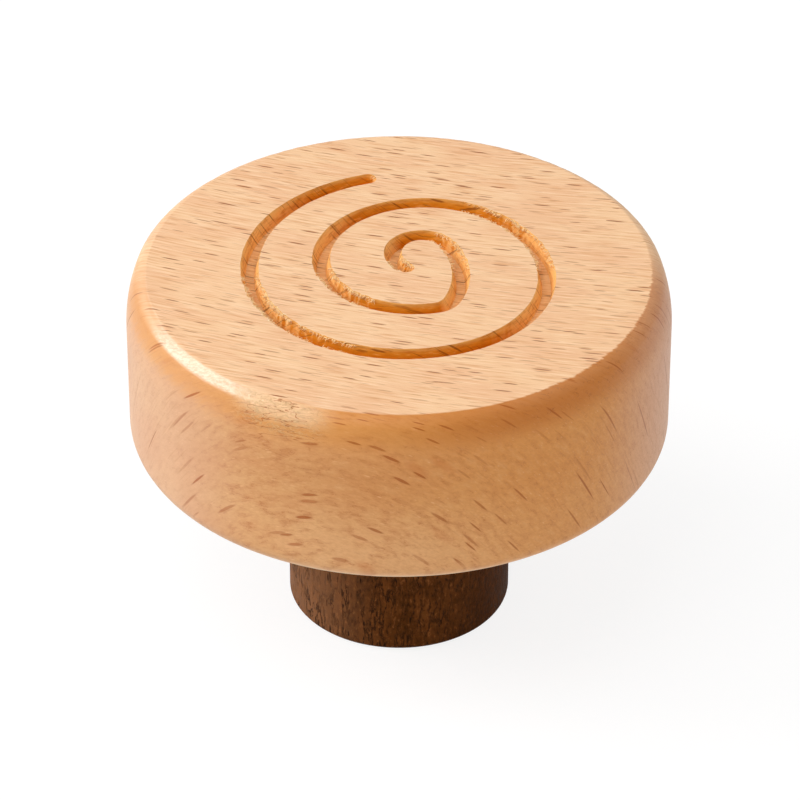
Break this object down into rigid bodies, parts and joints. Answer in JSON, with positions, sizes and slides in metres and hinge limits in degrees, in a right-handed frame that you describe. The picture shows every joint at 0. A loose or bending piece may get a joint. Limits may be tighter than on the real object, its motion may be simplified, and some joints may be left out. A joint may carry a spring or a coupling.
{
  "type": "cabinet knob",
  "caption": "Turned wooden cabinet knob: a pale disc head with a spiral groove in its flat face, on a dark cylindrical stem with a brass M4 insert in its base.",
  "frame": {"origin": "centre of the stem's base, the face that meets the door or drawer front", "axes": "+Z away from the door, up through the head; +X to the right and +Y away from the viewer in the picture"},
  "size_m": [0.05, 0.05, 0.0358],
  "materials": {
    "beech": "oiled beech, pale flat face, warmer satin side",
    "walnut": "oiled dark walnut with fine open pores",
    "brass": "plain machined brass"
  },
  "bodies": {
    "root": {"head": "beech", "stem": "walnut", "threaded_insert": "brass"}
  },
  "joints": []
}
